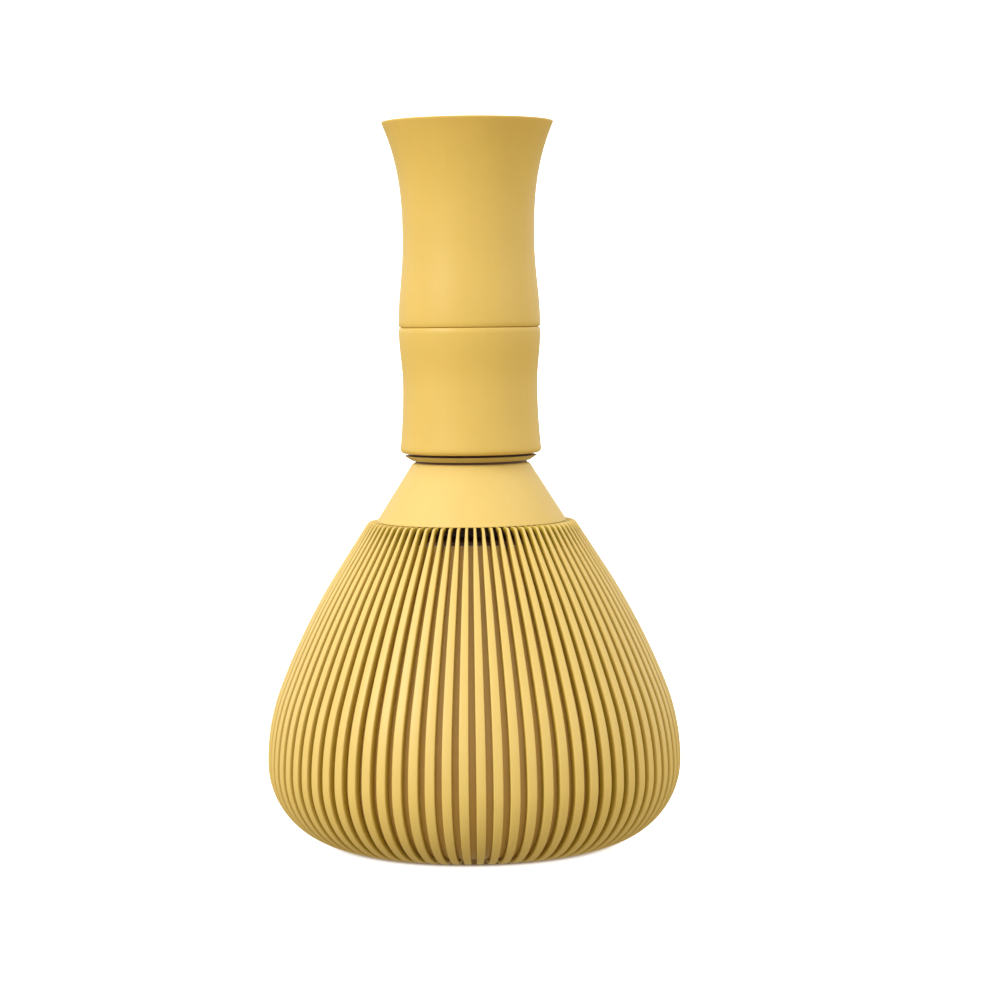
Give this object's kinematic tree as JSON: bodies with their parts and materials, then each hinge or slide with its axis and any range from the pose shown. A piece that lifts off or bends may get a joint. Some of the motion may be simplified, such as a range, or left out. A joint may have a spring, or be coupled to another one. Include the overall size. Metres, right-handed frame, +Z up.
{
  "type": "tea whisk",
  "caption": "Tea whisk with an hourglass grip that pulls off, a conical cover and a bell-shaped crown of curved tines over an inner crown.",
  "frame": {"origin": "on the axis of revolution, at the level of the outer tines' lowest points, which the whisk stands on", "axes": "+Z up along the axis of revolution, from the tines to the grip; +X and +Y are square to it, and the object is the same all round"},
  "size_m": [0.0692, 0.0692, 0.1199],
  "materials": {
    "upper_grip": "satin moulded resin, bamboo yellow",
    "lower_grip": "satin moulded resin, bamboo yellow",
    "collar": "satin moulded resin, darker yellow",
    "cone_cover": "satin moulded resin, pale yellow, slightly translucent",
    "hub": "matte moulded resin, brown",
    "seal_ring": "matte black",
    "outer_tines": "satin moulded resin, bamboo yellow, slightly translucent",
    "inner_tines": "satin moulded resin, brown"
  },
  "bodies": {
    "head": {"hub": "hub", "collar": "collar", "cone_cover": "cone_cover", "seal_ring": "seal_ring", "outer_tines": "outer_tines", "inner_tines": "inner_tines"},
    "grip": {"lower_grip": "lower_grip", "upper_grip": "upper_grip"}
  },
  "joints": [
    {"name": "grip_pull", "type": "slide", "parent": "head", "child": "grip", "axis": [0, 0, 1], "range_m": [0, 0.03]}
  ]
}
